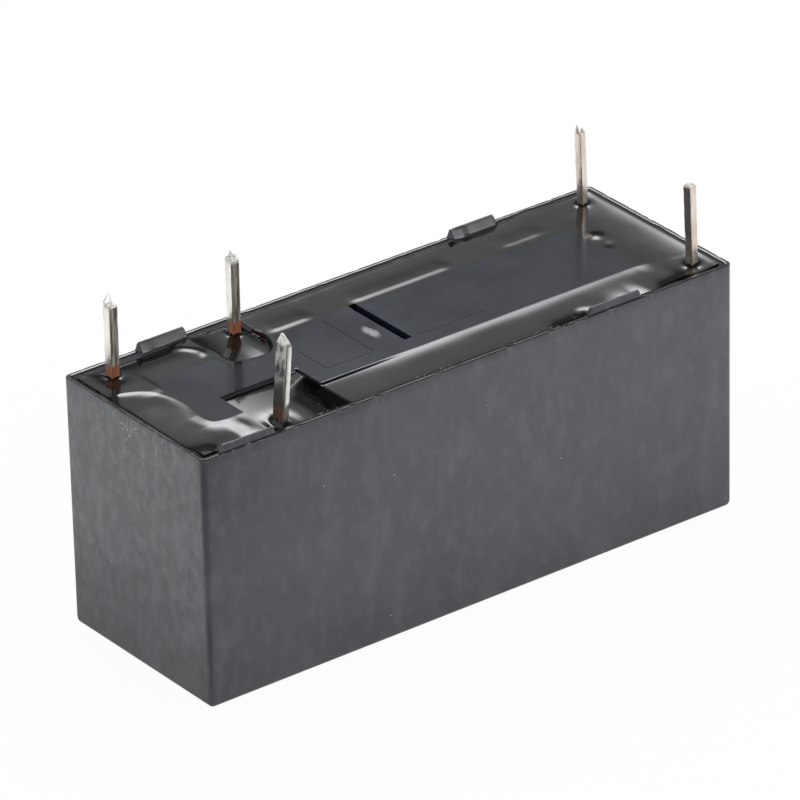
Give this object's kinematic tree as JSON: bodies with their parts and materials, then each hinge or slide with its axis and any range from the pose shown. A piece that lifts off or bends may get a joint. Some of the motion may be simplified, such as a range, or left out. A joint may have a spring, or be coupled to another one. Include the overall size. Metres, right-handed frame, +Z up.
{
  "type": "pcb power relay",
  "caption": "Sealed low-profile power relay for a circuit board: dark moulded case with epoxy-sealed pins, hinged armature, card and changeover contact inside.",
  "frame": {"origin": "middle of the case's closed face, on which the relay lies with its pins up, as in the picture; it is turned over to go on a board", "axes": "+X along the case from the contact pins to the coil pins, +Y across the case to the row of the fixed contact pins, +Z up along the pins"},
  "size_m": [0.0286, 0.01, 0.0158],
  "materials": {
    "case_plastic": "satin moulded thermoplastic, lightly scuffed",
    "base_plastic": "satin moulded thermoplastic",
    "epoxy": "glossy black casting resin",
    "tinned_copper": "tin-dipped copper alloy, copper showing at the foot",
    "tinned_wire": "tin-dipped square wire",
    "contact_silver": "polished silver alloy",
    "spring_bronze": "rolled copper alloy",
    "rivet_brass": "turned brass",
    "card_plastic": "natural moulded polyester",
    "soft_iron": "nickel-plated soft iron",
    "bobbin_plastic": "natural moulded polyester",
    "enamelled_copper": "enamelled copper wire",
    "polyester_tape": "thin polyester film",
    "solder": "bright tin solder"
  },
  "bodies": {
    "housing": {"case": "case_plastic", "base": "base_plastic", "epoxy_seal": "epoxy", "nc_terminal": "tinned_copper", "no_terminal": "tinned_copper", "com_terminal": "tinned_copper", "coil_pin_near": "tinned_wire", "coil_pin_far": "tinned_wire", "nc_contact": "contact_silver", "no_contact": "contact_silver", "yoke": "soft_iron", "core": "soft_iron", "bobbin": "bobbin_plastic", "winding": "enamelled_copper", "coil_tape": "polyester_tape", "coil_lead_near": "enamelled_copper", "coil_lead_far": "enamelled_copper", "lead_joints": "solder"},
    "armature": {"armature": "soft_iron", "armature_spring": "spring_bronze", "armature_rivets": "rivet_brass"},
    "card": {"actuator_card": "card_plastic"},
    "contact_arm": {"contact_spring": "spring_bronze", "moving_contact": "contact_silver", "spring_rivets": "rivet_brass"}
  },
  "joints": [
    {"name": "armature_hinge", "type": "hinge", "parent": "housing", "child": "armature", "pos_m": [-0.00244, 0, 0.0102], "axis": [0, -1, 0], "range_deg": [0, 4.5], "stiffness_Nm_per_rad": 0.0005, "springref_deg": -28.65},
    {"name": "card_slide", "type": "slide", "parent": "housing", "child": "card", "axis": [1, 0, 0], "range_m": [0, 0.00067]},
    {"name": "spring_flex", "type": "hinge", "parent": "housing", "child": "contact_arm", "pos_m": [-0.00931, 0, 0.0094], "axis": [0, -1, 0], "range_deg": [0, 5]}
  ],
  "couplings": [
    {"joint": "card_slide", "follows": "armature_hinge", "m_per_rad": 0.0084},
    {"joint": "spring_flex", "follows": "armature_hinge", "ratio": 1.1053}
  ]
}
